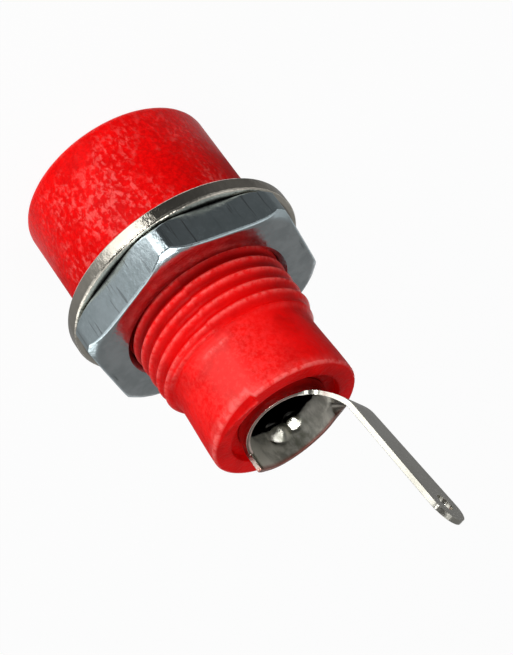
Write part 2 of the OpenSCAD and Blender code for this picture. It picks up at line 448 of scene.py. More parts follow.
def insulator_outline():
    """The plain section of the moulding, without thread, flash and chip."""
    corners = [
        (MOUTH_R + MOUTH_BEVEL, FRONT_Z, SOFT_EDGE_R),
        (HEAD_R, FRONT_Z, HEAD_EDGE_R),
        (HEAD_R, SHOULDER_Z, SHOULDER_EDGE_R),
        (ROOT_R, SHOULDER_Z, 0),
        (ROOT_R, SHANK_Z0, 0),
        (REAR_R, REAR_Z, REAR_EDGE_R),
        (REAR_BORE_R, REAR_Z, BORE_EDGE_R),
        (REAR_BORE_R, REAR_Z - REAR_BORE_DEPTH, SOFT_EDGE_R),
        (SEAT_R, REAR_Z - REAR_BORE_DEPTH, SOFT_EDGE_R),
        (SEAT_R, SLEEVE_Z0, 0),
        (MOUTH_R, SLEEVE_Z0, SOFT_EDGE_R),
        (MOUTH_R, FRONT_Z + MOUTH_BEVEL, SOFT_EDGE_R),
    ]
    return subdivided(rounded(corners), outline_step)


def insulator_point(azimuth, r, z):
    """A point of the outline as it is at an azimuth, with its pale wear and painted highlight, and the
    painted shade of its valley, each from 0 to 1.
    """
    worn_and_highlit, valley = 0.0, 0.0
    if on_shank(r, z):
        r, worn_and_highlit, valley = shank_radius(azimuth, z)
        pull = smoothstep(REAR_Z - CHIP_PULL, SHANK_Z1, z)
        z -= CHIP_SLOPE * CHIP_WIDTH * chip_share(azimuth) * pull
    elif r > REAR_BORE_R + RIM_LAND and z >= SHANK_Z1 - ROUNDING:
        r, z, worn_and_highlit = rim_point(azimuth, r, z)
    elif r > HEAD_R - HEAD_SIDE and z < SHOULDER_Z:
        # Pale wear with a painted highlight at the front edge.
        worn_and_highlit = HEAD_WEAR_AND_HIGHLIGHT * (1 - smoothstep(0, HEAD_EDGE_R, z))
        r += flash(azimuth, r) * FLASH_ON_HEAD * smoothstep(HEAD_FLASH_START, HEAD_FLASH_FULL, z)
    return r, z, worn_and_highlit, valley


def insulator():
    outline = insulator_outline()
    inner_r, mouth_z = REAR_R - REAR_EDGE_R + INSIDE_MARGIN, FRONT_Z + MOUTH_BEVEL
    inside = [float(r < inner_r and z > mouth_z) for r, z in outline]
    azimuths = [TAU * i / INSULATOR_COLUMNS for i in range(INSULATOR_COLUMNS)]
    sections, wear, valley_shades = [], [], []
    for azimuth in azimuths:
        points = [insulator_point(azimuth, r, z) for r, z in outline]
        sections.append([(r, z) for r, z, worn_and_highlit, valley in points])
        wear += [worn_and_highlit for r, z, worn_and_highlit, valley in points]
        valley_shades += [valley for r, z, worn_and_highlit, valley in points]
    piece = turned("red_insulator", sections, azimuths, crease_deg=50)
    # Pale wear with painted highlights, and painted shade in the valleys.
    mark(piece, "wear", wear)
    mark(piece, "valley", valley_shades)
    mark(piece, "inside", inside * INSULATOR_COLUMNS)
    return piece


# Hex nut.


def hex_radius(from_flat):
    """Radius of the hex at an angle from the middle of a flat, with its corners turned off."""
    flat = NUT_AF / 2 / math.cos(from_flat)
    blend = NUT_CORNER_BLEND
    share = min(max(0.5 + 0.5 * (NUT_CORNER_R - flat) / blend, 0.0), 1.0)
    return NUT_CORNER_R + (flat - NUT_CORNER_R) * share - blend * share * (1 - share)


def roll_off(r):
    """How far the face of the nut has dropped at a radius, where its corners roll off."""
    past = max(r - NUT_ROLL_START, 0.0)
    return NUT_ROLL_R - math.sqrt(NUT_ROLL_R ** 2 - past ** 2)


def face_edge(r, z, inward):
    """Points along a face of the nut and round its edge; inward is +1 or -1 along the axis."""
    inner_r = NUT_BORE_R + NUT_COUNTERSINK
    shoulder_r = r - NUT_EDGE_REACH * NUT_EDGE_R
    points = [(inner_r, z)]
    steps = 10
    for step in range(steps + 1):
        at = NUT_ROLL_START - NUT_ROLL_LEAD + (shoulder_r - NUT_ROLL_START + NUT_ROLL_LEAD) * step / steps
        points.append((at, z + inward * roll_off(at)))
    corner = (r, z + inward * roll_off(r))
    return points + arc_points(points[-1], corner, (r, z + inward), NUT_EDGE_R, steps=6)


def nut():
    flat_steps, corner_steps = 14, 34
    side_span = TAU / NUT_SIDES
    corner_span = side_span - 2 * NUT_FLAT_HALF
    angles = []
    for side in range(NUT_SIDES):
        middle = NUT_AZIMUTH + side * side_span
        for step in range(flat_steps):
            angles.append((middle, -NUT_FLAT_HALF + 2 * NUT_FLAT_HALF * step / flat_steps))
        for step in range(corner_steps):
            angles.append((middle, NUT_FLAT_HALF + corner_span * step / corner_steps))
    sections, azimuths = [], []
    for middle, offset in angles:
        from_flat = offset if offset <= side_span / 2 else offset - side_span
        r = hex_radius(from_flat)
        front = face_edge(r, NUT_Z0, 1)
        rear = face_edge(r, NUT_Z1, -1)
        bore = [(NUT_BORE_R, NUT_Z1 - NUT_COUNTERSINK), (NUT_BORE_R, NUT_Z0 + NUT_COUNTERSINK)]
        sections.append(front + rear[::-1] + bore)
        azimuths.append(middle + offset)
    return turned("zinc_nut", sections, azimuths, crease_deg=38)


# Washer.


def washer():
    columns = 240
    profile = rounded([
        (WASHER_HOLE_R, WASHER_Z0, WASHER_HOLE_EDGE_R),
        (WASHER_R, WASHER_Z0, WASHER_EDGE_R),
        (WASHER_R, WASHER_Z1, WASHER_EDGE_R),
        (WASHER_HOLE_R, WASHER_Z1, WASHER_HOLE_EDGE_R),
    ])
    azimuths = [TAU * i / columns for i in range(columns)]
    return turned("nickel_washer", [profile] * columns, azimuths, crease_deg=60)


# Contact: the middle surface of one sheet, given its thickness afterwards.


def opened(share):
    """How far the rolled wall has opened into the flat tail: quick at the rim, then eased."""
    soft = OPENING_SOFTNESS
    share = (math.hypot(share, soft) - soft) / (math.hypot(1, soft) - soft)
    eased = share * share * (3 - 2 * share)
    quick = 1 - (1 - share) ** 2
    return OPENING_EASED * eased + (1 - OPENING_EASED) * quick


def tongue_point(rise, across):
    """A point of the sheet that opens out of the rolled wall, at a height above the rim."""
    share = min(rise / TONGUE_RISE, 1.0)
    open_share = opened(share)
    middle = WALL_R + TAIL_OFFSET * open_share
    middle += math.tan(TAIL_LEAN) * TONGUE_RISE * share * share * (share - 1)
    past = max(rise - TONGUE_RISE, 0)
    middle += math.tan(TAIL_LEAN) * past - TAIL_TWIST * (across + TAIL_HALF) * past
    bow = max((1 - share) ** FLATTENING / WALL_R, LEAST_BOW)
    turn = bow * across
    return (middle - (1 - math.cos(turn)) / bow, math.sin(turn) / bow, RIM_NEAR_Z + rise)


def dent(azimuth, z):
    """How far the wall is pressed in by its dents here, and how polished it is, from 0 to 1."""
    pressed, polish = 0.0, 0.0
    for place, height, radius, slope_round, slope_up, gloss in DENTS:
        round_it, up = around(azimuth, place) * WALL_R, z - height
        share = 1 - smoothstep(DENT_FLAT, DENT_EDGE, math.hypot(round_it, up) / radius)
        flat = slope_round * round_it + slope_up * (DENT_HINGE * radius - up) - round_it ** 2 / (2 * WALL_R)
        pressed += flat * share
        polish = max(polish, gloss * share)
    return pressed, polish


def wall_shade_and_sheen(azimuth):
    """How light the inside is painted: 0 in its painted shade, 1 beside that, more for a painted reflection
    at the seam.
    """
    from_seam = abs(around(azimuth, SEAM_START))
    strip = 1 - smoothstep(SEAM_STRIP - SEAM_STRIP_EDGE, SEAM_STRIP, from_seam)
    from_dark = abs(around(azimuth, WALL_DARK_AZIMUTH))
    return smoothstep(WALL_DARK_HALF, WALL_LIGHT_HALF, from_dark) + SEAM_STRIP_TONE * strip


def wall_point(azimuth, z):
    """A point of the rolled wall, whose end lifts at the seam and which has two dents."""
    flat = 1 - smoothstep(0, SEAM_FLAT, azimuth - SEAM_START)
    r = WALL_R + SEAM_LIFT * flat ** 2 * smoothstep(REAR_Z - REAR_BORE_DEPTH, RIM_NEAR_Z, z)
    r -= dent(azimuth, z)[0]
    return (r * math.cos(azimuth), r * math.sin(azimuth), z)


def far_rim(azimuth):
    return RIM_FAR_Z + RIM_FAR_SLOPE * WALL_R * (1 + math.sin(azimuth))


def far_height(azimuth, share):
    """Height of the far wall at a share of the way from the near rim's level to its own rim."""
    return RIM_NEAR_Z + (far_rim(azimuth) - RIM_NEAR_Z) * share


def near_rim(azimuth):
    """Height of the near rim, which dips between the tongue and the seam."""
    share = min(max((azimuth - TONGUE_END) / (SEAM_END - TONGUE_END), 0.0), 1.0)
    return RIM_NEAR_Z + RIM_NEAR_RISE * share ** 2 - RIM_NEAR_DIP * math.sin(math.pi * share)


def spread(first, last, count):
    """Evenly spaced values from the first to the last."""
    return [first + (last - first) * i / count for i in range(count + 1)]


def stoutness(rise):
    """How much of the tail's own thickness the sheet has here, from 0 to 1."""
    return smoothstep(0, TONGUE_RISE, rise)


class Sheet:
    """Points and faces of a sheet; each point may be bare or darkened by painted shade, and as stout as the
    tail.
    """

    def __init__(self):
        self.points, self.faces = [], []
        self.bare, self.soot, self.stout = [], [], []

    def add(self, point, bare=0.0, soot=0.0, stout=0.0):
        """Adds a point and gives its number."""
        self.points.append(point)
        self.bare.append(bare)
        self.soot.append(soot)
        self.stout.append(stout)
        return len(self.points) - 1

    def add_tongue(self, rise, across):
        return self.add(tongue_point(rise, across), stout=stoutness(rise))

    def stitch(self, lower, upper):
        """Joins two rows of points with faces."""
        for i in range(len(lower) - 1):
            self.faces.append((lower[i], lower[i + 1], upper[i + 1], upper[i]))


def add_sleeve(sheet, far):
    """The sleeve up to its near rim, in finer rows where it can be seen. Gives the rim."""
    root = spread(TONGUE_START, TONGUE_END, TONGUE_COLUMNS)
    near = spread(TONGUE_END, SEAM_END, NEAR_COLUMNS)
    columns = far + root[1:] + near[1:]
    seen_z = REAR_Z - OPEN_DEPTH
    heights = spread(SLEEVE_Z0, seen_z, DEEP_ROWS)
    rows = [[sheet.add(wall_point(azimuth, z)) for azimuth in columns] for z in heights]
    for share in spread(0, 1, SEEN_ROWS)[1:]:
        row = []
        for azimuth in columns:
            point = wall_point(azimuth, seen_z + (near_rim(azimuth) - seen_z) * share)
            bare = NEAR_BARE if share == 1 and azimuth > TONGUE_END else 0.0
            # Painted shade on the seam's end.
            soot = SEAM_SHADE if azimuth == SEAM_START else 0.0
            row.append(sheet.add(point, bare, soot))
        rows.append(row)
    for lower, upper in zip(rows, rows[1:]):
        sheet.stitch(lower, upper)
    return rows[-1]


def add_far_rim(sheet, far, rim, rises):
    """The far half of the rim: higher, and drawn out with the tongue where they join. Gives that join."""
    lower = rim[:len(far)]
    joined = []
    for row in range(FAR_ROWS):
        share = (row + 1) / FAR_ROWS
        join = Vector(wall_point(TONGUE_START, far_height(TONGUE_START, share)))
        pull = Vector(tongue_point(rises[row], -TAIL_HALF)) - join
        upper = []
        for azimuth in far:
            drawn = smoothstep(TONGUE_START - DRAWN_SPAN, TONGUE_START, azimuth) ** 2
            point = Vector(wall_point(azimuth, far_height(azimuth, share))) + pull * drawn
            bare = smoothstep(FAR_BARE_START, 1.0, share)
            # Painted shade on the seam's end and where the far rim is drawn into the tongue.
            soot = SEAM_SHADE if azimuth == SEAM_START else math.sqrt(drawn)
            upper.append(sheet.add(tuple(point), bare, soot, drawn * stoutness(rises[row])))
        sheet.stitch(lower, upper)
        lower = upper
        joined.append(upper[-1])
    return joined


def add_tail(sheet, root, joined, rises):
    """The tongue and the strip above it, with a filleted root on the near side. Gives the last row."""
    lower = root
    for row, rise in enumerate(rises):
        left = ROOT_FILLET - min(rise, ROOT_FILLET)
        extra = ROOT_FILLET - math.sqrt(max(ROOT_FILLET ** 2 - left ** 2, 0))
        reach = spread(-TAIL_HALF, TAIL_HALF + extra, TONGUE_COLUMNS)
        first = joined[row] if row < FAR_ROWS else sheet.add_tongue(rise, reach[0])
        upper = [first] + [sheet.add_tongue(rise, across) for across in reach[1:]]
        sheet.stitch(lower, upper)
        lower = upper
    return lower


def tip_outline():
    """Outline of the round tip, across the tail and up it, from its first row round to there."""
    outline = [(across, BLOCK_RISE) for across in spread(-TAIL_HALF, TAIL_HALF, TONGUE_COLUMNS)[:-1]]
    side = spread(BLOCK_RISE, EYELET_RISE, SIDE_STEPS)
    outline += [(TAIL_HALF, rise) for rise in side[:-1]]
    tip_reach = TIP_Z - EYELET[2] - TAIL_SHEET / 2 * math.sin(TAIL_LEAN)
    for turn in spread(0, math.pi, TIP_STEPS)[:-1]:
        outline.append((TAIL_HALF * math.cos(turn), EYELET_RISE + tip_reach * math.sin(turn)))
    outline += [(-TAIL_HALF, rise) for rise in side[:0:-1]]
    return outline


def add_tip(sheet, first_row):
    """The round tip with its eyelet: rings from the outline to the hole."""
    outline = tip_outline()
    outer = first_row + [sheet.add_tongue(rise, across) for across, rise in outline[len(first_row):]]
    for ring in range(1, TIP_RINGS + 1):
        share = ring / TIP_RINGS
        inner = []
        for across, rise in outline:
            turn = math.atan2(rise - EYELET_RISE, across)
            hole_across = EYELET_R * math.cos(turn)
            hole_rise = EYELET_RISE + EYELET_R * math.sin(turn)
            spot = (rise + (hole_rise - rise) * share, across + (hole_across - across) * share)
            inner.append(sheet.add_tongue(*spot))
        sheet.stitch(outer + outer[:1], inner + inner[:1])
        outer = inner


def thicken(piece, stout):
    """Gives the sheet its thickness, which grows towards the tail, and rounds its open edges."""
    weigh_open_edges(piece)
    tail = piece.vertex_groups.new(name="tail")
    for index, weight in enumerate(stout):
        tail.add([index], weight, "REPLACE")
    solid = piece.modifiers.new("sheet", "SOLIDIFY")
    solid.thickness = TAIL_SHEET * MM
    solid.vertex_group = tail.name
    solid.thickness_vertex_group = SHEET / TAIL_SHEET
    solid.offset = 0
    solid.use_even_offset = True
    edge = piece.modifiers.new("edges", "BEVEL")
    edge.width = SHEET_EDGE_R * MM
    edge.segments = 3
    edge.limit_method = "WEIGHT"
    edge.harden_normals = True


def contact():
    sheet = Sheet()
    far = spread(SEAM_START, TONGUE_START, FAR_COLUMNS)
    rises = spread(0, TONGUE_RISE, TONGUE_ROWS)[1:] + spread(TONGUE_RISE, BLOCK_RISE, TAIL_ROWS)[1:]
    rim = add_sleeve(sheet, far)
    joined = add_far_rim(sheet, far, rim, rises)
    root = rim[FAR_COLUMNS:FAR_COLUMNS + TONGUE_COLUMNS + 1]
    add_tip(sheet, add_tail(sheet, root, joined, rises))
    piece = new_piece("nickel_contact", sheet.points, sheet.faces, crease_deg=180)
    mark(piece, "polish", [dent(math.atan2(y, x), z)[1] for x, y, z in sheet.points])
    # How light the inside is painted, with painted shade and a painted reflection.
    mark(piece, "tone", [wall_shade_and_sheen(math.atan2(y, x)) for x, y, _ in sheet.points])
    mark(piece, "bare", sheet.bare)
    # Painted shade at the seam and the join.
    mark(piece, "soot", sheet.soot)
    thicken(piece, sheet.stout)
    return piece


# Materials.


class Nodes:
    """Short names for building a node tree."""

    def __init__(self, tree):
        self.tree = tree

    def new(self, kind, **settings):
        node = self.tree.nodes.new(kind)
        for key, value in settings.items():
            if hasattr(node, key):
                setattr(node, key, value)
            else:
                node.inputs[key.replace("_", " ")].default_value = value
        return node

    def join(self, source, target):
        self.tree.links.new(source, target)

    def noise(self, coords, scale, detail=4.0, roughness=0.55, distortion=0.0):
        node = self.new("ShaderNodeTexNoise", Scale=scale, Detail=detail, Roughness=roughness)
        node.inputs["Distortion"].default_value = distortion
        self.join(coords, node.inputs["Vector"])
        return node.outputs["Fac"]

    def stretched(self, coords, factors):
        node = self.new("ShaderNodeMapping")
        node.inputs["Scale"].default_value = factors
        self.join(coords, node.inputs["Vector"])
        return node.outputs["Vector"]

    def ramp(self, value, low, high, to_low=0.0, to_high=1.0):
        node = self.new("ShaderNodeMapRange", interpolation_type="SMOOTHSTEP")
        limits = {"From Min": low, "From Max": high, "To Min": to_low, "To Max": to_high}
        for socket, number in limits.items():
            node.inputs[socket].default_value = number
        self.join(value, node.inputs["Value"])
        return node.outputs["Result"]

    def axis(self, coords, name):
        parts = self.new("ShaderNodeSeparateXYZ")
        self.join(coords, parts.inputs["Vector"])
        return parts.outputs[name]

    def marked(self, name):
        """A number that the mesh holds for each of its points."""
        return self.new("ShaderNodeAttribute", attribute_name=name).outputs["Fac"]

    def math(self, operation, first, second=0.0):
        node = self.new("ShaderNodeMath", operation=operation)
        for socket, value in zip(node.inputs, (first, second)):
            if isinstance(value, (int, float)):
                socket.default_value = value
            else:
                self.join(value, socket)
        return node.outputs["Value"]

    def times(self, first, *others):
        """The product of sockets and numbers."""
        product = first
        for value in others:
            product = self.math("MULTIPLY", product, value)
        return product

    def mix(self, factor, first, second):
        """A colour between two, by a factor; each may be a socket or a value."""
        node = self.new("ShaderNodeMix", data_type="RGBA")
        for index, value in ((0, factor), (6, first), (7, second)):
            if isinstance(value, (int, float, tuple)):
                node.inputs[index].default_value = value
            else:
                self.join(value, node.inputs[index])
        return node.outputs[2]

    def bump(self, height, strength, distance, normal=None):
        node = self.new("ShaderNodeBump", Strength=strength, Distance=distance)
        self.join(height, node.inputs["Height"])
        if normal is not None:
            self.join(normal, node.inputs["Normal"])
        return node.outputs["Normal"]


def material(name):
    """A new material with its nodes, its shader and the piece's own coordinates in millimetres."""
    new = bpy.data.materials.new(name)
    new.use_nodes = True
    nodes = Nodes(new.node_tree)
    shader = new.node_tree.nodes["Principled BSDF"]
    place = nodes.new("ShaderNodeTexCoord").outputs["Object"]
    return new, nodes, shader, nodes.stretched(place, (1 / MM, 1 / MM, 1 / MM))


RED_PLAIN = (0.94, 0.002, 0.002, 1)
RED_DEEP = (0.70, 0.0, 0.0, 1)
# A darker red for the mottle, partly painted shade.
RED_MOTTLE_AND_SHADE = (0.50, 0.0, 0.0, 1)
# Painted shade in the thread's valleys.
RED_VALLEY_SHADE = (0.24, 0.0, 0.0, 1)
# A pale red for wear, painted glints, painted sheen and painted highlights.
RED_PALE = (1.0, 0.19, 0.17, 1)
# How strongly each mark colours the plastic where it is fullest.
HEAD_DEEPENED = 0.3
# More dark mottle on the head's shaded side, as painted shade.
MOTTLE_SHADED, MOTTLE_LIT, MOTTLE_LEAST = 0.55, 0.33, 0.08
# Pale flecks painted as glints.
PAINTED_GLINTS = 0.48
# A painted sheen on the neck.
SHEEN_LEAST, SHEEN_SPECKS, SHEEN_EVEN = 0.04, 0.26, 0.19
# Pale wear with painted highlights.
PALE_WEAR_AND_HIGHLIGHT = 0.65
# Painted shade in the valleys.
VALLEY_PAINTED_SHADE = 0.75
# Stretches over which marks come or go, in millimetres. Y points to the lit side.
HEAD_FADE = 0.5
MOTTLE_Y = (3.0, 4.5)
GLINT_Y = (-1.0, 3.9)
GLINT_FROM_FRONT = (0.3, 2.0)
GLINT_SIDE_X = (-HEAD_R, -2.0)
SHEEN_Z = (THREAD_END_Z - 0.3, THREAD_END_Z + 0.4)
SHEEN_Y = (1.8, 3.6)
SHEEN_ASIDE = (0.5, 1.6)
# What is left of the painted glints at the front edge and at the side, and of the painted sheen aside.
GLINT_FRONT_LEAST = 0.25
GLINT_SIDE_LEAST = 0.35
SHEEN_ASIDE_LEAST = 0.6
# Least and greatest roughness, heights of the grain and the flecks, and how much the surface mirrors.
PLASTIC_ROUGH = (0.36, 0.48)
PLASTIC_GRAIN, PLASTIC_FLECK = 0.03 * MM, 0.06 * MM
PLASTIC_GLOSS = 0.06
# Light that goes in and comes out again: its share, its reach in red, green and blue, and the scale of that.
SUBSURFACE_SHARE, SUBSURFACE_REACH, SUBSURFACE_SCALE = 0.4, (1.0, 0.08, 0.05), 1.2 * MM


def red_plastic():
    """Moulded plastic: mottle and pale wear, with painted shade, glints, sheen and highlights."""
    new, nodes, shader, place = material("red_plastic")
    x, y, z = [nodes.axis(place, name) for name in "XYZ"]
    head = nodes.ramp(z, SHOULDER_Z + HEAD_FADE, SHOULDER_Z)
    outside = nodes.math("SUBTRACT", 1.0, nodes.marked("inside"))
    grain = nodes.noise(place, 5.0, detail=4, roughness=0.7)
    fleck = nodes.noise(nodes.stretched(place, (1, 1, 0.7)), 4.0, detail=4, roughness=0.6, distortion=0.35)

    # Clouds of a deeper red, and dark mottle on the head; more of it on the head's shaded sides is painted
    # shade.
    cloud = nodes.ramp(nodes.noise(place, 0.6, detail=4, roughness=0.6), 0.30, 0.60)
    base = nodes.mix(cloud, RED_DEEP, RED_PLAIN)
    base = nodes.mix(nodes.times(head, HEAD_DEEPENED), base, RED_DEEP)
    mottle_and_shade_amount = nodes.times(head, nodes.ramp(y, *MOTTLE_Y, MOTTLE_SHADED, MOTTLE_LIT))
    mottle_and_shade = nodes.times(nodes.ramp(grain, 0.62, 0.38), nodes.math("ADD", mottle_and_shade_amount, MOTTLE_LEAST))
    base = nodes.mix(mottle_and_shade, base, RED_MOTTLE_AND_SHADE)

    # Pale flecks in patches on the lit side of the head, painted glints of the lamps, fewer at its front
    # edge and towards -X.
    patch = nodes.ramp(nodes.noise(place, 0.45, detail=3), 0.36, 0.58)
    lit_side = nodes.ramp(y, *GLINT_Y)
    from_front = nodes.ramp(z, *[FRONT_Z + reach for reach in GLINT_FROM_FRONT], GLINT_FRONT_LEAST)
    from_side = nodes.ramp(x, *GLINT_SIDE_X, GLINT_SIDE_LEAST)
    where = nodes.times(patch, lit_side, head, outside, from_front, from_side)
    painted_glints_share = nodes.times(nodes.ramp(fleck, 0.46, 0.68), where, PAINTED_GLINTS)
    base = nodes.mix(painted_glints_share, base, RED_PALE)

    # A painted sheen on the lit side of the neck, even along the middle and in specks beside it.
    neck = nodes.times(nodes.ramp(z, *SHEEN_Z), nodes.ramp(y, *SHEEN_Y))
    aside = nodes.math("ABSOLUTE", x)
    even = nodes.ramp(aside, *SHEEN_ASIDE, SHEEN_EVEN, 0.0)
    specks = nodes.ramp(grain, 0.36, 0.64, SHEEN_LEAST, SHEEN_SPECKS)
    middle = nodes.ramp(aside, *SHEEN_ASIDE, 1.0, SHEEN_ASIDE_LEAST)
    painted_sheen = nodes.times(nodes.math("MAXIMUM", specks, even), middle, neck, outside)
    base = nodes.mix(painted_sheen, base, RED_PALE)

    # Pale wear with a painted highlight on crests and rims, and painted shade in the valleys.
    worn_and_highlit = nodes.times(nodes.marked("wear"), nodes.ramp(fleck, 0.34, 0.62, 0.12, 1.0), PALE_WEAR_AND_HIGHLIGHT)
    base = nodes.mix(worn_and_highlit, base, RED_PALE)
    base = nodes.mix(nodes.times(nodes.marked("valley"), VALLEY_PAINTED_SHADE), base, RED_VALLEY_SHADE)

    nodes.join(base, shader.inputs["Base Color"])
    nodes.join(nodes.ramp(grain, 0.3, 0.7, *PLASTIC_ROUGH), shader.inputs["Roughness"])
    normal = nodes.bump(grain, 0.5, PLASTIC_GRAIN)
    nodes.join(nodes.bump(fleck, 0.6, PLASTIC_FLECK, normal), shader.inputs["Normal"])
    shader.inputs["Specular IOR Level"].default_value = PLASTIC_GLOSS
    shader.inputs["Subsurface Weight"].default_value = SUBSURFACE_SHARE
    shader.inputs["Subsurface Radius"].default_value = SUBSURFACE_REACH
    shader.inputs["Subsurface Scale"].default_value = SUBSURFACE_SCALE
    return new


METAL_GRAIN = 0.02 * MM


class Metal:
    """Plated metal with slow tarnish and fine grain; a look changes it before it is joined up."""

    def __init__(self, name, light, dark, rough):
        self.material, self.nodes, self.shader, self.place = material(name)
        tarnish = self.nodes.ramp(self.nodes.noise(self.place, 0.7, detail=4), 0.35, 0.7)
        grain = self.nodes.noise(self.place, 6.0, detail=4)
        self.base = self.nodes.mix(tarnish, light, dark)
        self.roughness = self.nodes.ramp(grain, 0.3, 0.7, *rough)
        self.normal = self.nodes.bump(grain, 0.06, METAL_GRAIN)

    def from_axis(self):
        """Distance from the jack's axis in millimetres."""
        flat = self.nodes.stretched(self.place, (1, 1, 0))
        length = self.nodes.new("ShaderNodeVectorMath", operation="LENGTH")
        self.nodes.join(flat, length.inputs[0])
        return length.outputs["Value"]

    def facing_up(self):
        """How far the surface faces along the axis, from 0 to 1 either way."""
        normal = self.nodes.new("ShaderNodeNewGeometry").outputs["Normal"]
        return self.nodes.math("ABSOLUTE", self.nodes.axis(normal, "Z"))

    def finish(self):
        self.shader.inputs["Metallic"].default_value = 1
        self.nodes.join(self.base, self.shader.inputs["Base Color"])
        self.nodes.join(self.roughness, self.shader.inputs["Roughness"])
        self.nodes.join(self.normal, self.shader.inputs["Normal"])
        return self.material


CONTACT_LIGHT, CONTACT_DARK = (0.47, 0.46, 0.41, 1), (0.40, 0.39, 0.34, 1)
STAIN_LIGHT, STAIN_DARK = (0.86, 0.84, 0.77, 1), (0.22, 0.22, 0.18, 1)
# Painted shade deep in the sleeve.
DEPTH_SHADE = (0.035, 0.033, 0.028, 1)
BARE_BROWN = (0.40, 0.12, 0.09, 1)
# Painted shade at the seam and the tongue's join.
SEAM_AND_JOIN_SHADE = (0.07, 0.065, 0.055, 1)
NICKEL_LIGHT, NICKEL_DARK = (0.66, 0.62, 0.54, 1), (0.55, 0.52, 0.45, 1)
# Painted shade under the nut.
SHADE_UNDER_NUT = (0.035, 0.032, 0.029, 1)
ZINC_LIGHT, ZINC_DARK = (0.66, 0.77, 0.81, 1), (0.58, 0.69, 0.72, 1)
ZINC_FACE_LIGHT, ZINC_FACE_DARK = (0.51, 0.55, 0.56, 1), (0.41, 0.45, 0.46, 1)
SCRATCH = (0.2, 0.22, 0.22, 1)
# Least and greatest roughness of each metal, and what the stains inside the sleeve add to it.
CONTACT_ROUGH, NICKEL_ROUGH, ZINC_ROUGH = (0.16, 0.26), (0.06, 0.14), (0.14, 0.24)
STAIN_ROUGH = 0.42
# How strongly each mark colours the metal.
BARE_SHARE = 0.85
SHADE_UNDER_NUT_SHARE = 0.94
SCRATCH_SHARE = 0.5
# The stained band inside the sleeve's mouth, with painted shade below it: its lower edge, and how much that
# edge wanders.
BAND_Z0, BAND_Z1 = 14.95, 15.09
BAND_WAVE = 0.35
# Radii that part the sleeve's inside from its outside, and the painted shade under the nut from the washer's
# rim.
INSIDE_R = (WALL_R + 0.02, WALL_R - 0.04)
SHADE_UNDER_NUT_R = (WASHER_R - 0.2, WASHER_R - 0.4)
WASHER_DENTS, NUT_DENTS = 0.06 * MM, 0.04 * MM


def contact_nickel():
    """Bare brown cuts and painted shade at the seam; inside, a stained band with painted shade and a painted
    reflection, painted shade below it.
    """
    metal = Metal("contact_nickel", CONTACT_LIGHT, CONTACT_DARK, CONTACT_ROUGH)
    nodes = metal.nodes
    inside = nodes.ramp(metal.from_axis(), *INSIDE_R)
    along = nodes.stretched(metal.place, (1, 1, 0.6))
    stain = nodes.noise(along, 1.9, detail=5, roughness=0.6, distortion=0.3)
    # The stains are painted darker round one azimuth as shade and lighter at the seam's strip as a
    # reflection.
    tone = nodes.times(nodes.marked("tone"), 0.5)
    light = nodes.math("ADD", nodes.ramp(stain, 0.35, 0.65, 0.0, 0.5), tone)
    wave = nodes.times(nodes.noise(metal.place, 0.9, detail=3), BAND_WAVE)
    band = nodes.ramp(nodes.math("ADD", nodes.axis(metal.place, "Z"), wave), BAND_Z0, BAND_Z1)
    dull = nodes.mix(light, STAIN_DARK, STAIN_LIGHT)
    # Painted shade deep inside, below the band.
    dull = nodes.mix(band, DEPTH_SHADE, dull)
    metal.base = nodes.mix(inside, metal.base, dull)
    metal.base = nodes.mix(nodes.times(nodes.marked("bare"), BARE_SHARE), metal.base, BARE_BROWN)
    # Painted shade at the seam's end and the tongue's join.
    metal.base = nodes.mix(nodes.marked("soot"), metal.base, SEAM_AND_JOIN_SHADE)
    unpolished = nodes.math("SUBTRACT", 1.0, nodes.marked("polish"))
    matt = nodes.times(inside, band, STAIN_ROUGH, unpolished)
    metal.roughness = nodes.math("ADD", metal.roughness, matt)
    return metal.finish()


def washer_nickel():
    """Warm nickel with a slightly dented rim, and painted shade on the face under the nut."""
    metal = Metal("washer_nickel", NICKEL_LIGHT, NICKEL_DARK, NICKEL_ROUGH)
    nodes = metal.nodes
    # Painted shade on the face under the nut.
    under_nut = nodes.ramp(metal.from_axis(), *SHADE_UNDER_NUT_R)
    tint_share = nodes.times(nodes.ramp(metal.facing_up(), 0.93, 0.99), under_nut, SHADE_UNDER_NUT_SHARE)
    metal.base = nodes.mix(tint_share, metal.base, SHADE_UNDER_NUT)
    dents = nodes.noise(metal.place, 2.4, detail=4, roughness=0.6)
    metal.normal = nodes.bump(dents, 0.8, WASHER_DENTS, metal.normal)
    return metal.finish()


def nut_zinc():
    """Bluish zinc, greyer on its faces, with thin dark scratches across the flats."""
    metal = Metal("nut_zinc", ZINC_LIGHT, ZINC_DARK, ZINC_ROUGH)
    nodes = metal.nodes
    facing_up = metal.facing_up()
    tint_share = nodes.ramp(nodes.noise(metal.place, 1.1, detail=5, roughness=0.65), 0.35, 0.65)
    face = nodes.mix(tint_share, ZINC_FACE_DARK, ZINC_FACE_LIGHT)
    metal.base = nodes.mix(nodes.ramp(facing_up, 0.8, 0.97), metal.base, face)
    along = nodes.stretched(metal.place, (1, 1, 0.04))
    lines = nodes.ramp(nodes.noise(along, 7.0, detail=2, distortion=0.1), 0.61, 0.66)
    scratch = nodes.times(lines, nodes.ramp(facing_up, 0.4, 0.1), SCRATCH_SHARE)
    metal.base = nodes.mix(scratch, metal.base, SCRATCH)
    dents = nodes.noise(metal.place, 2.4, detail=4, roughness=0.6)
    metal.normal = nodes.bump(dents, 0.6, NUT_DENTS, metal.normal)
    return metal.finish()


def finish_piece(piece, body, node, look):
    """Dresses a piece that stands for one CAD node and moves with its body."""
    piece.data.materials.append(look)
    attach(piece, body)
    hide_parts(node)


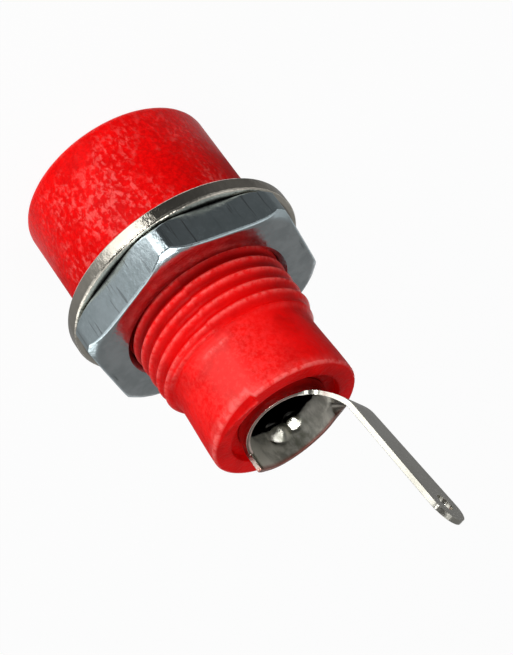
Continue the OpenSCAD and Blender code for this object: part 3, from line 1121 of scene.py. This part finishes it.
finish_piece(insulator(), "jack", "insulator_body", red_plastic())
finish_piece(contact(), "jack", "contact", contact_nickel())
finish_piece(washer(), "washer", "washer", washer_nickel())
finish_piece(nut(), "nut", "hex_nut", nut_zinc())


# Studio: floor, two rings of grey cards that the metal mirrors, soft lights and the camera.

TARGET = Vector((0, 0, 0.011))
FLOOR_HALF = 1.5
FLOOR_GLOW = 0.95
FLOOR_SEEN, FLOOR_UNSEEN = (0.95, 0.95, 0.95, 1), (0.5, 0.5, 0.5, 1)
WHITE = (1, 1, 1, 1)
ROOM_SHADE = (0.22, 0.23, 0.24, 1)


def direction(azimuth_deg, elevation_deg):
    azimuth, elevation = math.radians(azimuth_deg), math.radians(elevation_deg)
    flat = math.cos(elevation)
    return Vector((flat * math.cos(azimuth), flat * math.sin(azimuth), math.sin(elevation)))


def seen_share(nodes, share):
    """How much of the plain white a ray sees: rays of the camera, of mirrors and of glass."""
    path = nodes.new("ShaderNodeLightPath").outputs
    seen = nodes.math("MAXIMUM", path["Is Camera Ray"], path["Is Glossy Ray"])
    seen = nodes.math("MAXIMUM", seen, path["Is Transmission Ray"])
    return nodes.times(seen, share)


def floor():
    """A floor that the camera and mirrors see as nearly plain white. Lights below it shine through."""
    half = FLOOR_HALF / MM
    corners = [(-half, -half, 0), (half, -half, 0), (half, half, 0), (-half, half, 0)]
    piece = new_piece("floor", corners, [(0, 1, 2, 3)])
    new = bpy.data.materials.new("white_floor")
    new.use_nodes = True
    nodes = Nodes(new.node_tree)
    new.node_tree.nodes.remove(new.node_tree.nodes["Principled BSDF"])
    matt = nodes.new("ShaderNodeBsdfDiffuse")
    path = nodes.new("ShaderNodeLightPath").outputs
    nodes.join(nodes.mix(path["Is Camera Ray"], FLOOR_UNSEEN, FLOOR_SEEN), matt.inputs["Color"])
    glow = nodes.new("ShaderNodeEmission", Color=WHITE, Strength=1.0)
    blend = nodes.new("ShaderNodeMixShader")
    nodes.join(seen_share(nodes, FLOOR_GLOW), blend.inputs["Fac"])
    nodes.join(matt.outputs["BSDF"], blend.inputs[1])
    nodes.join(glow.outputs["Emission"], blend.inputs[2])
    nodes.join(blend.outputs["Shader"], new.node_tree.nodes["Material Output"].inputs["Surface"])
    piece.data.materials.append(new)
    piece.visible_shadow = False


# Cards that only mirrors see. Grey levels go by azimuth in degrees, as a share of the white card.
CARD_WHITE = 1.8
FLOOR_CARD_LEVELS = [
    (-180, 0.13), (-120, 0.15), (-75, 0.15), (-35, 0.105), (-18, 0.06), (0, 0.065), (16, 0.052), (30, 0.042),
    (50, 0.03), (72, 0.035), (76, 1.0), (107, 1.0), (116, 0.42), (121, 0.25), (132, 0.20), (139, 0.17),
    (180, 0.13),
]
ROOM_CARD_LEVELS = [
    (-180, 0.90), (-172, 0.50), (-166, 0.20), (-150, 0.155), (-60, 0.155), (-45, 0.22), (15, 0.22),
    (25, 0.06), (122, 0.06), (135, 0.45), (160, 0.50), (172, 0.90), (180, 0.90),
]
CARD_COLUMNS = 72
FLOOR_CARD_RADII = (7.5, 120.0)
FLOOR_CARD_Z = 0.05
ROOM_CARD_RADIUS = 800.0
ROOM_CARD_TOP_DEG, ROOM_CARD_STEP_DEG = 88, 11


def card_material(name, levels):
    """A glowing grey that changes with the azimuth."""
    new = bpy.data.materials.new(name)
    new.use_nodes = True
    nodes = Nodes(new.node_tree)
    new.node_tree.nodes.remove(new.node_tree.nodes["Principled BSDF"])
    place = nodes.new("ShaderNodeTexCoord").outputs["Object"]
    turn = nodes.new("ShaderNodeTexGradient", gradient_type="RADIAL")
    nodes.join(place, turn.inputs["Vector"])
    ramp = nodes.new("ShaderNodeValToRGB")
    stops = ramp.color_ramp.elements
    while len(stops) < len(levels):
        stops.new(0.5)
    for stop, (azimuth, level) in zip(stops, levels):
        stop.position = (azimuth + 180) / 360
        stop.color = (level, level, level, 1)
    nodes.join(turn.outputs["Fac"], ramp.inputs["Fac"])
    glow = nodes.new("ShaderNodeEmission", Strength=CARD_WHITE)
    nodes.join(ramp.outputs["Color"], glow.inputs["Color"])
    nodes.join(glow.outputs["Emission"], new.node_tree.nodes["Material Output"].inputs["Surface"])
    return new


def cards(name, profile, levels):
    """A ring of cards, turned from a profile of radius and height."""
    points, faces = [], []
    for i in range(CARD_COLUMNS):
        turn = TAU * i / CARD_COLUMNS
        points += [(r * math.cos(turn), r * math.sin(turn), z) for r, z in profile]
    rows = len(profile)
    for i in range(CARD_COLUMNS):
        j = (i + 1) % CARD_COLUMNS
        for k in range(rows - 1):
            faces.append((i * rows + k, i * rows + k + 1, j * rows + k + 1, j * rows + k))
    piece = new_piece(name, points, faces)
    piece.data.materials.append(card_material(name, levels))
    piece.visible_camera = False
    piece.visible_diffuse = False
    piece.visible_shadow = False
    piece.visible_transmission = False


def floor_cards():
    cards("floor_cards", [(r, FLOOR_CARD_Z) for r in FLOOR_CARD_RADII], FLOOR_CARD_LEVELS)


def room_cards():
    turns = [math.radians(step) for step in range(0, ROOM_CARD_TOP_DEG + 1, ROOM_CARD_STEP_DEG)]
    profile = [(ROOM_CARD_RADIUS * math.cos(turn), ROOM_CARD_RADIUS * math.sin(turn)) for turn in turns]
    cards("room_cards", profile, ROOM_CARD_LEVELS)


# Soft lights: name, azimuth and elevation in degrees, distance, width and height in metres, power in watts.
SOFTBOXES = (
    ("key", 92, -14, 0.30, (0.16, 0.06), 0.54),
    ("accent", 92, 12, 0.30, (0.12, 0.02), 0.26),
    ("top", 75, 66, 0.30, (0.14, 0.14), 0.22),
    ("side", 180, 25, 0.35, (0.20, 0.20), 0.085),
    ("fill", -10, 45, 0.35, (0.20, 0.20), 0.05),
    ("back", 262, -12, 0.30, (0.20, 0.06), 0.32),
)


def softbox(name, azimuth_deg, elevation_deg, distance, size, power):
    """A soft light that shines at the jack and that the camera doesn't see."""
    light = bpy.data.lights.new(name, "AREA")
    light.shape = "RECTANGLE"
    light.size, light.size_y = size
    light.energy = power
    lamp = bpy.data.objects.new(name, light)
    away = direction(azimuth_deg, elevation_deg)
    lamp.location = TARGET + away * distance
    lamp.rotation_euler = away.to_track_quat("Z", "Y").to_euler()
    lamp.visible_camera = False
    bpy.context.scene.collection.objects.link(lamp)


def world():
    new = bpy.data.worlds.new("studio")
    bpy.context.scene.world = new
    new.use_nodes = True
    nodes = Nodes(new.node_tree)
    background = new.node_tree.nodes["Background"]
    shade = nodes.mix(seen_share(nodes, 1.0), ROOM_SHADE, WHITE)
    nodes.join(shade, background.inputs["Color"])
    background.inputs["Strength"].default_value = 1.0


# The camera stands where the photo was taken, in the jack's own frame.
CAMERA_MM = Vector((22.44, 81.60, 55.51))
CAMERA_RIGHT = Vector((0.7150, -0.4670, 0.5203))
CAMERA_UP = Vector((0.6632, 0.2177, -0.7161))
CAMERA_BACK = Vector((0.2211, 0.8571, 0.4654))
FOCAL_PX, IMAGE_WIDTH_PX, SENSOR_MM = 2087.6, 513, 36.0
CLIP_NEAR, CLIP_FAR = 0.005, 20


def camera():
    data = bpy.data.cameras.new("camera")
    data.sensor_fit = "HORIZONTAL"
    data.sensor_width = SENSOR_MM
    data.lens = SENSOR_MM * FOCAL_PX / IMAGE_WIDTH_PX
    data.clip_start = CLIP_NEAR
    data.clip_end = CLIP_FAR
    eye = bpy.data.objects.new("camera", data)
    turn = Matrix((CAMERA_RIGHT, CAMERA_UP, CAMERA_BACK)).transposed()
    eye.matrix_world = Matrix.Translation(CAMERA_MM * MM) @ turn.to_4x4()
    bpy.context.scene.collection.objects.link(eye)
    bpy.context.scene.camera = eye


floor()
floor_cards()
room_cards()
for values in SOFTBOXES:
    softbox(*values)
world()
camera()
bpy.context.scene.view_settings.view_transform = "Standard"
